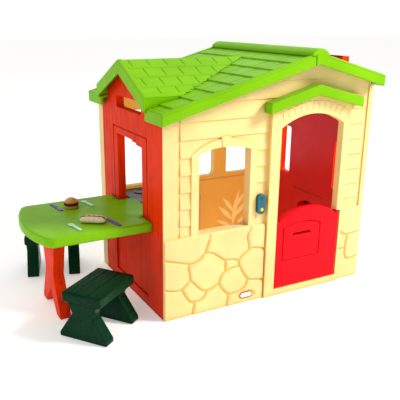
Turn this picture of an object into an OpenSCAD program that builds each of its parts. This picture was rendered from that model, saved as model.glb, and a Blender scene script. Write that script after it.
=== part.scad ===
// Plastic playhouse with a patio table, a half door and two loose benches.
// X runs to the right along the door wall, Y runs to the back and Z runs up.
// Dimensions below are measured from the outer front left corner of the house.

/* [House] */
// Outer width of the house along the door wall
house_w = 1423; // [1300:1:1800]
// Outer depth of the house
house_d = 941; // [860:1:1200]
// Thickness of the moulded wall panels
wall_t = 50; // [40:1:60]
// Width of the corner posts
post_w = 86; // [60:1:90]
// Height of the stone course at the foot of the walls
stone_h = 485; // [440:1:500]
// Height of one clapboard
board_h = 94.5; // [80:0.5:110]
// How far a clapboard stands out at its lower edge
board_out = 8; // [4:1:10]

/* [Roof] */
// Height of the top of the ridge cap
top_z = 1473; // [1400:1:1600]
// Height of the cap above the roof slopes
cap_h = 30; // [20:1:36]
// Distance of the ridge from the left side of the house
ridge_x = 925; // [860:1:980]
// Rise of both slopes for each millimetre of run
roof_rise = 0.281; // [0.26:0.001:0.3]
// Overhang of the roof to the left, past the patio wall
eave_left = 46; // [40:1:60]
// Overhang of the roof to the right
eave_right = 5; // [2:1:8]
// Overhang of the roof to the front
verge_front = 91; // [80:1:120]
// Overhang of the roof to the back
verge_back = 51; // [30:1:80]
// Thickness of the roof panels
roof_t = 24; // [18:1:26]
// Depth of the boards that edge the roof
verge_depth = 58; // [50:1:70]

/* [Patio gable] */
// Height of the ridge over the patio
dormer_z = 1404; // [1380:1:1420]
// Half the width of the roof over the patio
dormer_half = 350; // [320:1:360]
// Height of the upper eave corners of that roof
dormer_eave_z = 1236; // [1226:1:1250]
// How far that roof reaches out past the patio wall
dormer_out = 60; // [50:1:80]

/* [Patio wall] */
// Middle of the patio opening, from the front of the house
patio_mid = 446; // [430:1:460]
// Width of the patio opening
patio_open_w = 360; // [330:1:380]
// Height of the top of the patio opening
patio_top_z = 962; // [940:1:980]
// Height of the slot in the gable, lower edge
gable_slot_z = 1122; // [1110:1:1140]
// Height of that slot from edge to edge
gable_slot_h = 70; // [50:1:80]

/* [Window] */
// Width of the front window opening
window_w = 330; // [300:1:340]
// Distance of the window opening from the left side
window_x = 213; // [205:1:225]
// Height of the window sill
window_sill_z = 486; // [480:1:500]
// Height where the window arch starts
window_spring_z = 936; // [880:1:960]
// Rise of the window arch
window_rise = 28; // [15:1:40]
// Width of the moulding around the window
mould_w = 46; // [36:1:50]

/* [Doorway] */
// Width of the door surround
surround_w = 573; // [560:1:590]
// Distance of the door surround from the right side
surround_right = 184; // [170:1:200]
// How far the surround stands out from the wall
surround_out = 28; // [20:1:36]
// Width of the doorway
door_w = 455; // [430:1:460]
// Width of the right jamb of the doorway
jamb_w = 49; // [44:1:54]
// Height of the threshold
door_sill_z = 45; // [36:1:60]
// Height where the arch of the doorway starts
door_spring_z = 1037; // [1000:1:1050]
// Rise of the arch of the doorway
door_rise = 70; // [50:1:80]

/* [Half door] */
// Thickness of the half door
leaf_t = 34; // [28:1:38]
// Height of the corners of the half door
leaf_corner_z = 482; // [460:1:500]
// Rise of the arched top of the half door
leaf_rise = 64; // [40:1:70]
// Radius of the hinge pins
pin_r = 6; // [5:0.5:8]
// Running gap around the hinge pins
pin_gap = 0.08; // [0.02:0.01:0.1]
// Gap around the half door
leaf_gap = 5; // [4:1:8]

/* [Hood] */
// Width of the gabled hood over the doorway
hood_w = 668; // [650:1:690]
// Depth of the hood from front to back
hood_d = 47; // [40:1:60]
// Height of the apex of the hood
hood_z = 1276; // [1260:1:1290]
// Height of the boards of the hood
hood_h = 60; // [50:1:66]
// Rise of the hood for each millimetre of run
hood_rise = 0.262; // [0.24:0.001:0.28]

/* [Table] */
// Height of the table top
table_z = 545; // [530:1:560]
// Thickness of the table top
table_t = 57; // [50:1:60]
// How far the table reaches out from the patio wall
table_out = 647; // [560:1:700]
// Width of the table top
table_w = 620; // [560:1:640]
// How far the end of the table bows out
table_bow = 46; // [20:1:60]

/* [Benches] */
// Length of a bench seat
seat_l = 356; // [330:1:380]
// Width of a bench seat
seat_w = 239; // [220:1:250]
// Height of a bench
seat_z = 265; // [250:1:280]
// Thickness of a bench seat
seat_t = 52; // [46:1:56]
// Width of the feet of a bench
feet_w = 293; // [270:1:300]
// Distance between the outer faces of the bench frames
frames_l = 340; // [320:1:350]
// Thickness of a bench frame
frame_t = 74; // [60:1:80]

/* [Kitchen] */
// Height of the kitchen counter
counter_z = 520; // [500:1:530]
// Length of the kitchen counter
counter_l = 456; // [420:1:480]
// Depth of the kitchen counter
counter_d = 318; // [300:1:330]
// Thickness of the walls of the counter
counter_t = 16; // [12:1:20]

/* [Chimney] */
// Height of the chimney
chimney_z = 1394; // [1380:1:1420]
// Width of the chimney
chimney_w = 340; // [300:1:360]
// Depth of the chimney
chimney_d = 62; // [50:1:70]

/* [Doorbell] */
// Width of the doorbell
bell_w = 53; // [48:1:56]
// Height of the doorbell
bell_h = 118; // [110:1:124]
// Depth of the doorbell
bell_d = 22; // [20:1:24]
// Radius of its button
button_r = 10; // [8:0.5:11]
// Travel of its button
button_travel = 3; // [2:0.5:3.5]

/* [Hidden] */
$fn = 64;
cut = 1;

// Colours
cream = "#ffe7a6";
orange = "#f0400a";
green = "#8fd00a";
red = "#f80a22";
dark_green = "#04401f";
teal = "#0a7c8c";
metal = "silver";

// Roof levels
ridge_z = top_z - cap_h;
cap_w = 120;
seam_x = ridge_x - 30;
roof_x0 = -eave_left;
roof_x1 = house_w + eave_right;
roof_y0 = -verge_front;
roof_y1 = house_d + verge_back;
roof_drop = roof_t * sqrt(1 + roof_rise * roof_rise);
function roof_top(x) = ridge_z - abs(x - ridge_x) * roof_rise;
// The walls stop a hair below the roof panels that they carry
seat_gap = 0.2;
function roof_under(x) = roof_top(x) - roof_drop - seat_gap;
eave_left_z = roof_top(roof_x0) - verge_depth;
eave_right_z = roof_top(roof_x1) - verge_depth;

// Roof over the patio
dormer_rise = (dormer_z - dormer_eave_z) / dormer_half;
dormer_drop = roof_t * sqrt(1 + dormer_rise * dormer_rise);
dormer_y0 = patio_mid - dormer_half;
dormer_y1 = patio_mid + dormer_half;
dormer_verge = 72;
function dormer_under(y) = dormer_z - dormer_drop - seat_gap - abs(y - patio_mid) * dormer_rise;

// Patio wall
patio_wall_d = house_d - 76;
patio_open_y0 = patio_mid - patio_open_w / 2;
patio_open_y1 = patio_mid + patio_open_w / 2;
patio_sill_z = table_z - table_t;

// Front wall
surround_x1 = house_w - surround_right;
surround_x0 = surround_x1 - surround_w;
surround_back = 20;
door_x1 = surround_x1 - jamb_w;
door_x0 = door_x1 - door_w;
door_mid = (door_x0 + door_x1) / 2;
hood_t = 22;
hood_mid = (surround_x0 + surround_x1) / 2 + 3;
hood_x0 = hood_mid - hood_w / 2;
hood_y0 = -surround_out - hood_d;
function hood_top(x) = hood_z - abs(x - hood_mid) * hood_rise;
right_post_w = 34;
groove_w = 16;
window_mid = window_x + window_w / 2;
mould_out = 11;
rear_y = house_d - wall_t;

// Half door, its hinge and the pocket that the hinge turns in
leaf_y0 = -surround_out;
hinge_r = leaf_t / 2;
hinge_x = door_x1 + pin_r + 3;
hinge_y = leaf_y0 + hinge_r;
pocket_gap = 2;
leaf_z0 = door_sill_z + leaf_gap;
pin_grip = 30;
leaf_x0 = door_x0 + leaf_gap;
// the arch starts this far from the jamb, so that it swings clear of the pocket
leaf_shoulder = 14;

// Doorbell
bell_mid_x = surround_x0 - 48;
bell_z0 = 549;
bell_pad = 8;
bell_y0 = -bell_pad - bell_d;
bell_shell = 2.4;
button_x = bell_mid_x;
button_z = bell_z0 + 28;
button_flange = 1.6;
board_y = -bell_pad - 8;
board_t = 1.6;

// Table
table_y0 = patio_mid - table_w / 2;
table_end_x = -table_out + table_bow;
table_in = 98;
neck_gap = 1;
leg_x = -512;
leg_t = 65;
screw_x = -24;
screw_inset = 26;

// Chimney, clear of the edge of the roof
chimney_x0 = house_w + eave_right + 6;
chimney_mid = house_d / 2;
flue_t = 14;
slot_w = 108;
slot_z0 = 535;
slot_h = 345;
slot_off = 284;

// Kitchen
counter_x0 = table_in + 6;
counter_y1 = rear_y;
counter_y0 = counter_y1 - counter_d;
faucet_x = counter_x0 + counter_l - 110;
faucet_y = counter_y1 - 40;

// Benches: middle of each on the floor, and its turn
near_bench = [-337, 99, 37];
far_bench = [-331, 1012, -17.5];

// The origin lies under the middle of everything, on the floor
function bench_reach(turn) = frames_l / 2 * abs(sin(turn)) + feet_w / 2 * abs(cos(turn));
all_x0 = -table_out;
all_x1 = chimney_x0 + chimney_d;
all_y0 = near_bench[1] - bench_reach(near_bench[2]);
all_y1 = far_bench[1] + bench_reach(far_bench[2]);
origin_x = (all_x0 + all_x1) / 2;
origin_y = (all_y0 + all_y1) / 2;

module at_house() translate([-origin_x, -origin_y, 0]) children();

// A solid with an outline in X and Z, from y0 to y1
module wall_along_x(y0, y1)
    translate([0, y1, 0]) rotate([90, 0, 0]) linear_extrude(y1 - y0) children();

// A solid with an outline in Y and Z, from x0 to x1
module wall_along_y(x0, x1)
    translate([x0, 0, 0]) rotate([90, 0, 90]) linear_extrude(x1 - x0) children();

// A solid with an outline in X and Y, from z0 to z1
module plate(z0, z1)
    translate([0, 0, z0]) linear_extrude(z1 - z0) children();

module block(x0, x1, y0, y1, z0, z1)
    translate([x0, y0, z0]) cube([x1 - x0, y1 - y0, z1 - z0]);

// A rectangle with round corners, its lower left corner at x, y
module soft_rect(x, y, w, h, r) translate([x, y]) {
    translate([r, 0]) square([w - 2 * r, h]);
    translate([0, r]) square([w, h - 2 * r]);
    for (cx = [r, w - r], cy = [r, h - r]) translate([cx, cy]) circle(r);
}

// A rectangle with a low arch on top; spring is the height of its upper corners
module arched(x, z0, w, spring, rise) {
    bow_r = (w * w / 4 + rise * rise) / (2 * rise);
    translate([x, z0]) square([w, spring - z0]);
    intersection() {
        translate([x, spring - 0.01]) square([w, rise + 1]);
        translate([x + w / 2, spring + rise - bow_r]) circle(bow_r, $fn = 256);
    }
}

// Outline of a gable wall between x0 and x1, up to the underside of the roof
module gable_outline(x0, x1) polygon([
    [x0, 0], [x1, 0], [x1, min(roof_under(x1), eave_right_z - 1)],
    [roof_x1 - roof_t - 1, min(roof_under(x1), eave_right_z - 1)],
    [roof_x1 - roof_t - 1, roof_under(roof_x1 - roof_t - 1)],
    [ridge_x, roof_under(ridge_x)], [x0, roof_under(x0)]
]);

// One row of lapped boards, thick at its lower edge
module clapboard(x0, x1, z)
    wall_along_y(x0, x1) polygon([[cut, z], [-board_out, z], [-1, z + board_h], [cut, z + board_h]]);

module window_opening(grow)
    arched(window_x - grow, window_sill_z - grow, window_w + 2 * grow, window_spring_z, window_rise + grow);

module doorway_outline()
    arched(door_x0, door_sill_z, door_w, door_spring_z, door_rise);

// The surround runs up inside the hood
module surround_outline() polygon([
    [surround_x0, 0], [surround_x1, 0], [surround_x1, hood_top(surround_x1) - hood_t],
    [hood_mid, hood_z - hood_t], [surround_x0, hood_top(surround_x0) - hood_t]
]);

module hinge_pocket() {
    block(door_x1 - cut, hinge_x + hinge_r + pocket_gap, leaf_y0 - cut, hinge_y,
        leaf_z0 - leaf_gap, leaf_corner_z + leaf_gap);
    block(door_x1 - cut, hinge_x, leaf_y0 - cut, leaf_y0 + leaf_t + pocket_gap,
        leaf_z0 - leaf_gap, leaf_corner_z + leaf_gap);
    translate([hinge_x, hinge_y, leaf_z0 - leaf_gap])
        cylinder(r = hinge_r + pocket_gap, h = leaf_corner_z - leaf_z0 + 2 * leaf_gap);
}

module hinge_pin_shapes(r)
    for (z = [leaf_z0 - pin_grip, leaf_corner_z - pin_grip])
        translate([hinge_x, hinge_y, z]) cylinder(r = r, h = 2 * pin_grip);

module hood_screw_places()
    for (x = [hood_mid - 240, hood_mid, hood_mid + 240])
        translate([x, surround_back, hood_top(x) - hood_h / 2 - 6]) rotate([90, 0, 0]) children();

module bell_screw_places()
    for (z = [bell_z0 + 9, bell_z0 + bell_h - 9])
        translate([bell_mid_x, 12, z]) rotate([90, 0, 0]) children();

module front_wall() color(cream) at_house() difference() {
    union() {
        intersection() {
            union() {
                wall_along_x(0, wall_t) gable_outline(0, house_w);
                wall_along_x(-board_out, cut) {
                    square([house_w, stone_h]);
                    square([post_w, roof_under(0)]);
                    translate([house_w - right_post_w, 0]) square([right_post_w, eave_right_z - 1]);
                }
                for (z = [stone_h + board_h * 0.65 : board_h : ridge_z])
                    clapboard(post_w + groove_w, house_w - right_post_w - groove_w, z);
                clapboard(post_w + groove_w, house_w - right_post_w - groove_w, stone_h - board_h * 0.35);
            }
            wall_along_x(-2 * board_out, wall_t) gable_outline(0, house_w);
            // the left end is mitred to the patio wall
            plate(-cut, top_z) polygon([[0, -board_out], [house_w, -board_out],
                [house_w, wall_t], [wall_t, wall_t], [0, 0]]);
        }
        wall_along_x(-surround_out, wall_t) surround_outline();
        wall_along_x(-mould_out, cut) window_opening(mould_w);
        block(bell_mid_x - 33, bell_mid_x + 33, -bell_pad, cut, bell_z0 - 10, bell_z0 + bell_h + 10);
        // keystone over the window
        wall_along_x(-mould_out - 4, cut) polygon([
            [window_mid - 22, window_spring_z + window_rise], [window_mid + 22, window_spring_z + window_rise],
            [window_mid + 30, window_spring_z + window_rise + mould_w + 12],
            [window_mid - 30, window_spring_z + window_rise + mould_w + 12]]);
    }
    wall_along_x(-2 * mould_out, wall_t + cut) window_opening(0);
    wall_along_x(-surround_out - cut, wall_t + cut) doorway_outline();
    block(surround_x0 + 22, surround_x1 - 22, surround_back, wall_t + cut, -cut, door_spring_z + door_rise + 40);
    block(surround_x0 + 22, surround_x1 - 22, surround_back, wall_t + cut, door_spring_z + door_rise + 39, hood_z - 14);
    hinge_pocket();
    hinge_pin_shapes(pin_r);
    hood_screw_places() cylinder(r = 2, h = surround_out + surround_back + cut);
    bell_screw_places() cylinder(r = 1.5, h = 2 * bell_d);
}

// Picture window and a smaller window, either side of the mullion under the ridge
mullion_w = 104;
rear_sill_z = 540;
rear_top_z = 1050;
rear_window_x = 130;
module rear_wall() color(cream) at_house() difference() {
    union() {
        wall_along_x(rear_y, house_d) gable_outline(0, house_w);
        intersection() {
            block(0, post_w, patio_wall_d, house_d, 0, top_z);
            wall_along_x(0, house_d) gable_outline(0, house_w);
        }
        // ledge under the right window
        block(counter_x0 + counter_l + 4, house_w - wall_t - 40, rear_y - 8, rear_y + cut,
            rear_sill_z - 60, rear_sill_z - 30);
    }
    wall_along_x(rear_y - cut, house_d + cut) {
        soft_rect(rear_window_x, rear_sill_z, ridge_x - mullion_w / 2 - 30 - rear_window_x,
            rear_top_z - rear_sill_z, 26);
        soft_rect(ridge_x + mullion_w / 2 - 30, rear_sill_z,
            house_w - wall_t - 84 - ridge_x - mullion_w / 2 + 30, rear_top_z - rear_sill_z, 26);
    }
    wall_screw_places() wall_screw_shape();
}

module patio_outline() polygon([
    [0, 0], [patio_wall_d, 0], [patio_wall_d, roof_under(0)], [dormer_y1 - roof_t - 2, roof_under(0)],
    [dormer_y1 - roof_t - 2, dormer_under(dormer_y1 - roof_t - 2)], [patio_mid, dormer_under(patio_mid)],
    [dormer_y0 + roof_t + 2, dormer_under(dormer_y0 + roof_t + 2)], [dormer_y0 + roof_t + 2, roof_under(0)],
    [0, roof_under(0)]
]);

// Scalloped bracket in the front upper corner of the patio opening
module bracket_outline() {
    translate([patio_open_y0, patio_top_z - 20]) square([64, 30]);
    translate([patio_open_y0 + 64, patio_top_z - 9]) square([64, 20]);
    translate([patio_open_y0 + 64, patio_top_z - 2]) circle(18);
    translate([patio_open_y0 + 128, patio_top_z]) circle(9);
}

module patio_wall() color(orange) at_house() difference() {
    union() {
        difference() {
            intersection() {
                wall_along_y(0, wall_t) patio_outline();
                plate(-cut, top_z) polygon([[0, 0], [wall_t, wall_t], [wall_t, patio_wall_d], [0, patio_wall_d]]);
            }
            wall_along_y(-cut, wall_t + cut) {
                translate([patio_open_y0, patio_sill_z]) square([patio_open_w, patio_top_z - patio_sill_z]);
                soft_rect(patio_open_y0, gable_slot_z, patio_open_w, gable_slot_h, 16);
            }
        }
        wall_along_y(0, wall_t) bracket_outline();
    }
    // grooves between the posts, the jamb boards and the head rail
    for (y = [patio_open_y0 - 69, patio_open_y1 + 61])
        block(-cut, 6, y - 4, y + 4, table_z, patio_top_z + 44);
    block(-cut, 6, patio_open_y0 - 69, patio_open_y1 + 61, patio_top_z + 38, patio_top_z + 48);
    // sunk panel under the table
    block(-cut, 10, patio_open_y0 - 69, patio_open_y1 + 61, 60, patio_sill_z - 30);
    wall_screw_places() wall_screw_shape();
}

module right_wall() color(orange) at_house() difference() {
    block(house_w - wall_t, house_w, wall_t, rear_y, 0, eave_right_z - 1);
    wall_along_y(house_w - wall_t - cut, house_w + cut) {
        for (side = [-1, 1])
            soft_rect(chimney_mid + side * slot_off - slot_w / 2, slot_z0, slot_w, slot_h, 20);
        // firebox, open to the chimney
        arched(chimney_mid - 110, 60, 220, 340, 40);
    }
    // mantel line
    block(house_w - wall_t - cut, house_w - wall_t + 6, chimney_mid - 160, chimney_mid + 160, 440, 452);
    wall_screw_places() wall_screw_shape();
}

module chimney() color(orange) at_house() difference() {
    union() {
        block(chimney_x0, all_x1, chimney_mid - chimney_w / 2, chimney_mid + chimney_w / 2, 0, chimney_z);
        // below the eave the stack reaches in to the wall
        block(house_w, chimney_x0 + cut, chimney_mid - chimney_w / 2, chimney_mid + chimney_w / 2,
            0, eave_right_z - 8);
    }
    // open flue and the mouth of the firebox
    block(chimney_x0 + 4, all_x1 - flue_t, chimney_mid - chimney_w / 2 + flue_t,
        chimney_mid + chimney_w / 2 - flue_t, 60, chimney_z + cut);
    wall_along_y(house_w - cut, chimney_x0 + 5) arched(chimney_mid - 110, 60, 220, 340, 40);
    // the stack is open on the house side above the roof
    block(chimney_x0 - cut, chimney_x0 + 5, chimney_mid - chimney_w / 2 + flue_t,
        chimney_mid + chimney_w / 2 - flue_t, ridge_z - 110, chimney_z - 16);
}

wall_screw_r = 4;
module wall_screw_places()
    for (x = [wall_t / 2, house_w - wall_t / 2], z = [220, 900]) translate([x, house_d, z])
        rotate([90, 0, 0]) children();

module wall_screw_shape() {
    translate([0, 0, -cut]) cylinder(r = 2 * wall_screw_r, h = 6 + cut);
    cylinder(r = wall_screw_r, h = 110);
}

module wall_screws() color(metal) at_house()
    wall_screw_places() intersection() {
        wall_screw_shape();
        translate([0, 0, 2]) cylinder(r = 3 * wall_screw_r, h = 110);
    }

// Slab, verge boards and eave board of one main roof slope between x0 and x1
module slope_outline(x0, x1, depth) polygon(concat(
    [[x0, roof_top(x0)]], (x0 < ridge_x && x1 > ridge_x) ? [[ridge_x, ridge_z]] : [], [[x1, roof_top(x1)]],
    [[x1, roof_top(x1) - depth]],
    (x0 < ridge_x && x1 > ridge_x) ? [[ridge_x, ridge_z - depth]] : [], [[x0, roof_top(x0) - depth]]
));

module slope(x0, x1) {
    wall_along_x(roof_y0, roof_y1) slope_outline(x0, x1, roof_drop);
    wall_along_x(roof_y0, roof_y0 + roof_t) slope_outline(x0, x1, verge_depth);
    wall_along_x(roof_y1 - roof_t, roof_y1) slope_outline(x0, x1, verge_depth);
}

// Everything under the roof over the patio, less its walls
module dormer_inside(wall) wall_along_y(-dormer_out - cut, ridge_x) polygon([
    [dormer_y0 + wall, 0], [dormer_y1 - wall, 0], [dormer_y1 - wall, dormer_under(dormer_y1 - wall)],
    [patio_mid, dormer_under(patio_mid)], [dormer_y0 + wall, dormer_under(dormer_y0 + wall)]
]);

module roof_left() color(green) at_house() difference() {
    union() {
        slope(roof_x0, seam_x);
        wall_along_x(roof_y0, roof_y1) intersection() {
            slope_outline(roof_x0, seam_x, verge_depth);
            translate([roof_x0, 0]) square([roof_t, top_z]);
        }
    }
    // open under the patio roof
    dormer_inside(roof_t);
}

module roof_right() color(green) at_house() {
    slope(seam_x, roof_x1);
    wall_along_x(roof_y0, roof_y1) {
        intersection() {
            slope_outline(seam_x, roof_x1, verge_depth);
            translate([roof_x1 - roof_t, 0]) square([roof_t, top_z]);
        }
        // ridge cap
        polygon([
            [ridge_x - cap_w / 2, roof_top(ridge_x - cap_w / 2)], [ridge_x - cap_w / 2, ridge_z + 6],
            [ridge_x - cap_w / 2 + 30, top_z - 4], [ridge_x, top_z], [ridge_x + cap_w / 2 - 30, top_z - 4],
            [ridge_x + cap_w / 2, ridge_z + 6], [ridge_x + cap_w / 2, roof_top(ridge_x + cap_w / 2)],
            [ridge_x, ridge_z]
        ]);
    }
}

module dormer_outline(drop) polygon([
    [dormer_y0, dormer_eave_z], [patio_mid, dormer_z], [dormer_y1, dormer_eave_z],
    [dormer_y1, dormer_eave_z - drop], [patio_mid, dormer_z - drop], [dormer_y0, dormer_eave_z - drop]
]);

module dormer_roof() color(green) at_house() difference() {
    union() {
        wall_along_y(-dormer_out, ridge_x) {
            dormer_outline(dormer_drop);
            // cheeks that stand on the main slope
            for (y = [dormer_y0, dormer_y1 - roof_t]) translate([y, dormer_eave_z - dormer_verge])
                square([roof_t, dormer_verge - 4]);
        }
        wall_along_y(-dormer_out, -dormer_out + 12) dormer_outline(dormer_verge);
    }
    // the main slope cuts its foot
    wall_along_x(dormer_y0 - cut, dormer_y1 + cut) polygon([
        [roof_x0, 0], [ridge_x, 0], [ridge_x, ridge_z + seat_gap], [roof_x0, roof_top(roof_x0) + seat_gap]]);
}

module hood_outline(drop) polygon([
    [hood_x0, hood_top(hood_x0)], [hood_mid, hood_z], [hood_x0 + hood_w, hood_top(hood_x0 + hood_w)],
    [hood_x0 + hood_w, hood_top(hood_x0 + hood_w) - drop], [hood_mid, hood_z - drop],
    [hood_x0, hood_top(hood_x0) - drop]
]);

module door_hood() color(green) at_house() difference() {
    wall_along_x(hood_y0, -board_out) hood_outline(hood_h);
    wall_along_x(-surround_out, cut) surround_outline();
    hood_screw_places() cylinder(r = 2, h = surround_out + surround_back + 24);
}

module hood_screws() color(metal) at_house() hood_screw_places() {
    translate([0, 0, -3]) cylinder(r = 5, h = 3);
    cylinder(r = 2, h = surround_out + surround_back + 22);
}

// Half door: a leaf with an arched top, a mail slot and a round hinge edge
slot_mid_x = door_mid - 36;
module half_door() color(red) at_house() difference() {
    union() {
        intersection() {
            wall_along_x(leaf_y0, leaf_y0 + leaf_t) {
                arched(leaf_x0 + 18, leaf_z0, door_x1 - leaf_shoulder - leaf_x0 - 18, leaf_corner_z, leaf_rise);
                translate([leaf_x0, leaf_z0]) square([40, leaf_corner_z - leaf_z0 - 6]);
                translate([door_x1 - 20, leaf_z0]) square([hinge_x - door_x1 + 20, leaf_corner_z - leaf_z0 - 3]);
            }
            block(leaf_x0, hinge_x, leaf_y0 - cut, leaf_y0 + leaf_t + cut, 0, top_z);
        }
        translate([hinge_x, hinge_y, leaf_z0]) cylinder(r = hinge_r, h = leaf_corner_z - leaf_z0);
    }
    // arched panel, outlined by a groove
    wall_along_x(leaf_y0 - cut, leaf_y0 + 4) difference() {
        arched(slot_mid_x - 142, 218, 284, 432, 26);
        arched(slot_mid_x - 136, 224, 272, 430, 22);
    }
    // mail slot
    wall_along_x(leaf_y0 - cut, leaf_y0 + leaf_t + cut) soft_rect(slot_mid_x - 68, 372, 136, 18, 8);
    hinge_pin_shapes(pin_r + pin_gap);
}

module hinge_pins() color(metal) at_house() {
    translate([hinge_x, hinge_y, leaf_z0 - pin_grip]) cylinder(r = pin_r, h = 2 * pin_grip - 2);
    translate([hinge_x, hinge_y, leaf_corner_z - pin_grip + 2]) cylinder(r = pin_r, h = 2 * pin_grip - 2);
}

module badge_plate() color("white") at_house()
    wall_along_x(-board_out - 4, -board_out) soft_rect(500, 26, 90, 40, 19.9);

module bell_outline(inset)
    soft_rect(bell_mid_x - bell_w / 2 + inset, bell_z0 + inset, bell_w - 2 * inset, bell_h - 2 * inset, 22 - inset);

module bell_case() color(teal) at_house() difference() {
    wall_along_x(bell_y0, -bell_pad - 3) bell_outline(0);
    wall_along_x(bell_y0 + bell_shell, -bell_pad) bell_outline(bell_shell);
    translate([button_x, bell_y0 - cut, button_z]) rotate([-90, 0, 0]) cylinder(r = button_r + 0.4, h = 10);
    // sound holes
    for (row = [0 : 3]) block(bell_mid_x - 9, bell_mid_x + 9, bell_y0 - cut, bell_y0 + bell_shell + cut,
        bell_z0 + bell_h - 34 + row * 5, bell_z0 + bell_h - 32 + row * 5);
}

module bell_back_plate() color(teal) at_house() difference() {
    union() {
        wall_along_x(-bell_pad - 3, -bell_pad) bell_outline(0);
        // posts that carry the board
        for (x = [-13, 13], z = [18, 62]) translate([bell_mid_x + x, -bell_pad, bell_z0 + z]) rotate([90, 0, 0])
            cylinder(r = 2.5, h = -bell_pad - board_y - board_t);
    }
    bell_screw_places() cylinder(r = 1.5, h = 2 * bell_d);
}

module bell_screws() color(metal) at_house() bell_screw_places() {
    cylinder(r = 1.5, h = bell_pad + 16);
    translate([0, 0, bell_pad + 15]) cylinder(r = 3, h = 2);
}

button_back = bell_y0 + bell_shell + 0.3 + button_flange;
module bell_button() color("yellow") at_house() translate([button_x, bell_y0 - 4, button_z]) rotate([-90, 0, 0]) {
    cylinder(r = button_r, h = 4 + button_back - bell_y0);
    translate([0, 0, 4 + bell_shell + 0.3]) cylinder(r = button_r + 3, h = button_flange);
}

// Rubber dome switch, just clear of the button at the end of its travel
module bell_switch() color("white") at_house()
    translate([button_x, button_back + button_travel + 0.3, button_z]) rotate([-90, 0, 0])
        cylinder(r = 4, h = board_y - button_back - button_travel - 0.3);

module bell_board() color("darkgreen") at_house()
    block(bell_mid_x - 17, bell_mid_x + 17, board_y, board_y + board_t, bell_z0 + 14, bell_z0 + bell_h - 50);

module bell_speaker() color("dimgray") at_house()
    translate([bell_mid_x, bell_y0 + bell_shell, bell_z0 + bell_h - 26]) rotate([-90, 0, 0])
        cylinder(r = 15, h = 7);

module bell_batteries() color("goldenrod") at_house()
    for (x = [bell_mid_x - 12, bell_mid_x, bell_mid_x + 12])
        translate([x, -bell_pad - 3, bell_z0 + 77]) rotate([90, 0, 0]) cylinder(r = 5.8, h = 5.4);

// Table top with a bowed end, and the neck that rests in the patio opening
module table_outline() {
    bow_half = table_w / 2 - 60;
    bow_r = (bow_half * bow_half + table_bow * table_bow) / (2 * table_bow);
    translate([table_end_x, table_y0 + 60]) square([-table_end_x - 1, table_w - 120]);
    translate([table_end_x + 60, table_y0]) square([-table_end_x - 61, table_w]);
    for (y = [table_y0 + 60, table_y0 + table_w - 60]) translate([table_end_x + 60, y]) circle(60);
    intersection() {
        translate([-table_out + bow_r, patio_mid]) circle(bow_r, $fn = 256);
        translate([-table_out - cut, table_y0 + 60]) square([table_bow + 30, table_w - 120]);
    }
    polygon([[-2, patio_open_y0 + neck_gap], [table_in - 24, patio_open_y0 + neck_gap],
        [table_in, patio_open_y0 + 30], [table_in, patio_open_y1 - 30],
        [table_in - 24, patio_open_y1 - neck_gap], [-2, patio_open_y1 - neck_gap]]);
}

module table_screw_places()
    for (y = [patio_open_y0 - screw_inset, patio_open_y1 + screw_inset])
        translate([screw_x, y, table_z - 14]) children();

module patio_table() color(green) at_house() difference() {
    plate(table_z - table_t, table_z) table_outline();
    table_screw_places() {
        cylinder(r = 11, h = 20);
        translate([0, 0, -34]) cylinder(r = 3, h = 40);
    }
}

module table_screws() color(metal) at_house() table_screw_places() {
    cylinder(r = 8, h = 5);
    translate([0, 0, -34]) cylinder(r = 3, h = 35);
}

// Leg: narrow in the middle, with two splayed feet and an arch between them
module table_leg() color(orange) at_house() wall_along_y(leg_x, leg_x + leg_t) polygon([
    [patio_mid - 146, table_z - table_t], [patio_mid - 78, 238], [patio_mid - 176, 30], [patio_mid - 176, 0],
    [patio_mid - 104, 0], [patio_mid, 122], [patio_mid + 104, 0], [patio_mid + 176, 0], [patio_mid + 176, 30],
    [patio_mid + 78, 238], [patio_mid + 146, table_z - table_t]
]);

// Benches: a seat on two frames with crossed legs
module at_bench(bench) at_house() translate([bench[0], bench[1], 0]) rotate([0, 0, bench[2]]) children();

module bench_seat() plate(seat_z - seat_t, seat_z)
    soft_rect(-seat_l / 2, -seat_w / 2, seat_l, seat_w, 14);

module bench_frame(side) {
    x1 = frames_l / 2 - (side > 0 ? 0 : frames_l - frame_t);
    wall_along_y(x1 - frame_t, x1) polygon([
        [-92, seat_z - seat_t], [-62, 150], [-feet_w / 2, 24], [-feet_w / 2, 0], [feet_w / 2, 0],
        [feet_w / 2, 24], [62, 150], [92, seat_z - seat_t]
    ]);
}

module near_bench_seat() color(dark_green) at_bench(near_bench) bench_seat();
module near_bench_left_frame() color(dark_green) at_bench(near_bench) bench_frame(-1);
module near_bench_right_frame() color(dark_green) at_bench(near_bench) bench_frame(1);
module far_bench_seat() color(dark_green) at_bench(far_bench) bench_seat();
module far_bench_left_frame() color(dark_green) at_bench(far_bench) bench_frame(-1);
module far_bench_right_frame() color(dark_green) at_bench(far_bench) bench_frame(1);

sink_x = counter_x0 + 262;
module kitchen_counter() color(cream) at_house() difference() {
    block(counter_x0, counter_x0 + counter_l, counter_y0, counter_y1, 0, counter_z - 8);
    // open shelf
    block(counter_x0 + counter_t, counter_x0 + counter_l - counter_t, counter_y0 - cut, counter_y1 - counter_t,
        40, counter_z - 120);
    // basin
    plate(counter_z - 90, counter_z) soft_rect(sink_x, counter_y0 + 40, 160, 200, 30);
    translate([faucet_x, faucet_y, counter_z - 40]) cylinder(r = 9 + pin_gap, h = 60);
}

module stove_top() color("#181818") at_house() {
    plate(counter_z - 8, counter_z)
        soft_rect(counter_x0, counter_y0, sink_x - counter_x0 - 16, counter_d, 12);
    for (y = [counter_y0 + 90, counter_y0 + 220]) translate([counter_x0 + 122, y, counter_z]) difference() {
        cylinder(r = 52, h = 5);
        translate([0, 0, 2]) cylinder(r = 40, h = 5);
    }
}

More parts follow.
